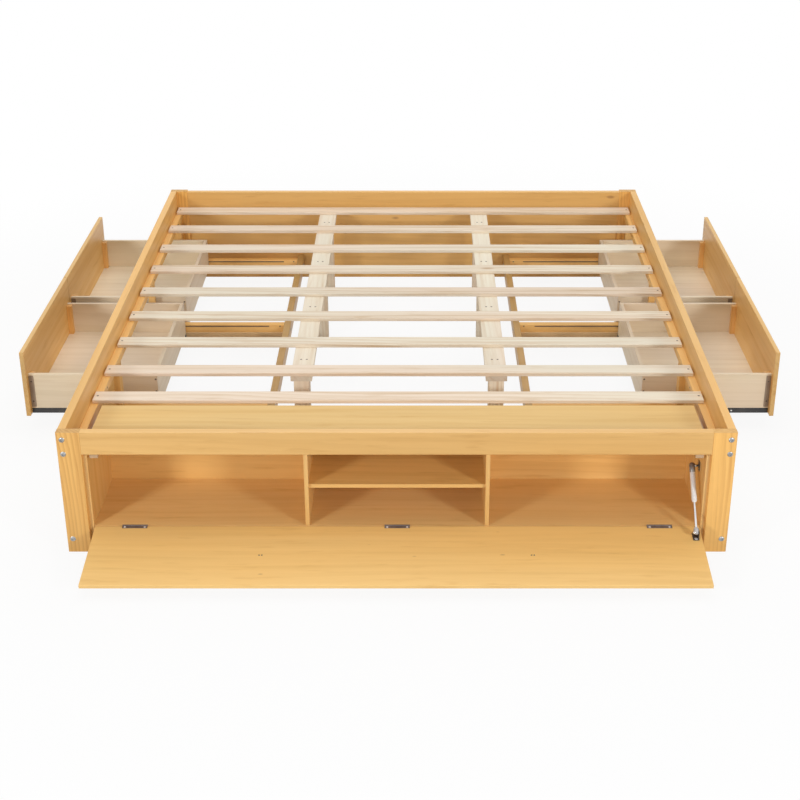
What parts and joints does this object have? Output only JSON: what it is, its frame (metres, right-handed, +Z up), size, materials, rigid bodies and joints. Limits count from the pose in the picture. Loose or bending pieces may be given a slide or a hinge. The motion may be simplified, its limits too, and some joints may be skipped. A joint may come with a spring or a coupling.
{
  "type": "platform bed",
  "caption": "King-size platform bed in pine with a slatted base, drawers in both sides and a foot cabinet behind a drop-down flap on a gas strut.",
  "frame": {"origin": "on the floor, in the middle of the bounding box as stored, with the drawers and the flap open", "axes": "+X across the bed to the right as seen from the foot, +Y from foot to head, +Z up"},
  "size_m": [2.648, 2.3236, 0.412],
  "materials": {
    "lacquered_pine": "satin honey lacquer",
    "bare_pine": "bare, planed",
    "drawer_birch": "clear lacquer",
    "runner_enamel": "black enamel",
    "hinge_steel": "dull dark plating",
    "catch_plastic": "matt ivory",
    "bracket_steel": "dark enamel",
    "strut_enamel": "pale grey enamel",
    "strut_chrome": "polished"
  },
  "bodies": {
    "frame": {"cabinet_back": "lacquered_pine", "cabinet_dividers": "lacquered_pine", "cabinet_floor": "lacquered_pine", "cabinet_shelf": "lacquered_pine", "cabinet_sides": "lacquered_pine", "cabinet_top": "lacquered_pine", "centre_beams": "bare_pine", "centre_legs": "bare_pine", "drawer_guides": "lacquered_pine", "fixed_runners": "runner_enamel", "flap_catches": "catch_plastic", "flap_hinge_fixed": "hinge_steel", "foot_rail": "lacquered_pine", "head_panel": "lacquered_pine", "head_rail": "lacquered_pine", "lower_rails": "lacquered_pine", "post_foot_left": "lacquered_pine", "post_foot_right": "lacquered_pine", "post_head_left": "lacquered_pine", "post_head_right": "lacquered_pine", "side_panels": "lacquered_pine", "side_rail_left": "lacquered_pine", "side_rail_right": "lacquered_pine", "side_stiles": "lacquered_pine", "slat_1": "bare_pine", "slat_2": "bare_pine", "slat_3": "bare_pine", "slat_4": "bare_pine", "slat_5": "bare_pine", "slat_6": "bare_pine", "slat_7": "bare_pine", "slat_8": "bare_pine", "slat_9": "bare_pine", "slat_ledgers": "lacquered_pine", "strut_wall_bracket": "bracket_steel"},
    "flap": {"flap": "lacquered_pine", "flap_hinge_moving": "hinge_steel", "strut_flap_bracket": "bracket_steel"},
    "strut_cylinder": {"strut_cylinder": "strut_enamel"},
    "strut_rod": {"strut_rod": "strut_chrome"},
    "drawer_left_foot": {"drawer_left_foot_front": "lacquered_pine", "drawer_left_foot_sides": "drawer_birch", "drawer_left_foot_back": "drawer_birch", "drawer_left_foot_bottom": "drawer_birch", "drawer_left_foot_runners": "runner_enamel"},
    "drawer_left_head": {"drawer_left_head_front": "lacquered_pine", "drawer_left_head_sides": "drawer_birch", "drawer_left_head_back": "drawer_birch", "drawer_left_head_bottom": "drawer_birch", "drawer_left_head_runners": "runner_enamel"},
    "drawer_right_foot": {"drawer_right_foot_front": "lacquered_pine", "drawer_right_foot_sides": "drawer_birch", "drawer_right_foot_back": "drawer_birch", "drawer_right_foot_bottom": "drawer_birch", "drawer_right_foot_runners": "runner_enamel"},
    "drawer_right_head": {"drawer_right_head_front": "lacquered_pine", "drawer_right_head_sides": "drawer_birch", "drawer_right_head_back": "drawer_birch", "drawer_right_head_bottom": "drawer_birch", "drawer_right_head_runners": "runner_enamel"}
  },
  "joints": [
    {"name": "drawer_left_foot_slide", "type": "slide", "parent": "frame", "child": "drawer_left_foot", "axis": [-1, 0, 0], "range_m": [-0.307, 0]},
    {"name": "drawer_left_head_slide", "type": "slide", "parent": "frame", "child": "drawer_left_head", "axis": [-1, 0, 0], "range_m": [-0.307, 0]},
    {"name": "drawer_right_foot_slide", "type": "slide", "parent": "frame", "child": "drawer_right_foot", "axis": [1, 0, 0], "range_m": [-0.307, 0]},
    {"name": "drawer_right_head_slide", "type": "slide", "parent": "frame", "child": "drawer_right_head", "axis": [1, 0, 0], "range_m": [-0.307, 0]},
    {"name": "flap_hinge", "type": "hinge", "parent": "frame", "child": "flap", "pos_m": [0, -0.91404, 0.085], "axis": [-1, 0, 0], "range_deg": [0, 99]},
    {"name": "strut_swing", "type": "hinge", "parent": "frame", "child": "strut_cylinder", "pos_m": [0.891, -0.83405, 0.245], "axis": [1, 0, 0], "range_deg": [0, 13.27]},
    {"name": "strut_slide", "type": "slide", "parent": "strut_cylinder", "child": "strut_rod", "axis": [0, -0.6669, -0.7452], "range_m": [-0.07371, 0]}
  ],
  "couplings": [
    {"joint": "strut_swing", "follows": "flap_hinge", "ratio": 0.1335},
    {"joint": "strut_slide", "follows": "flap_hinge", "m_per_rad": -0.042483}
  ]
}
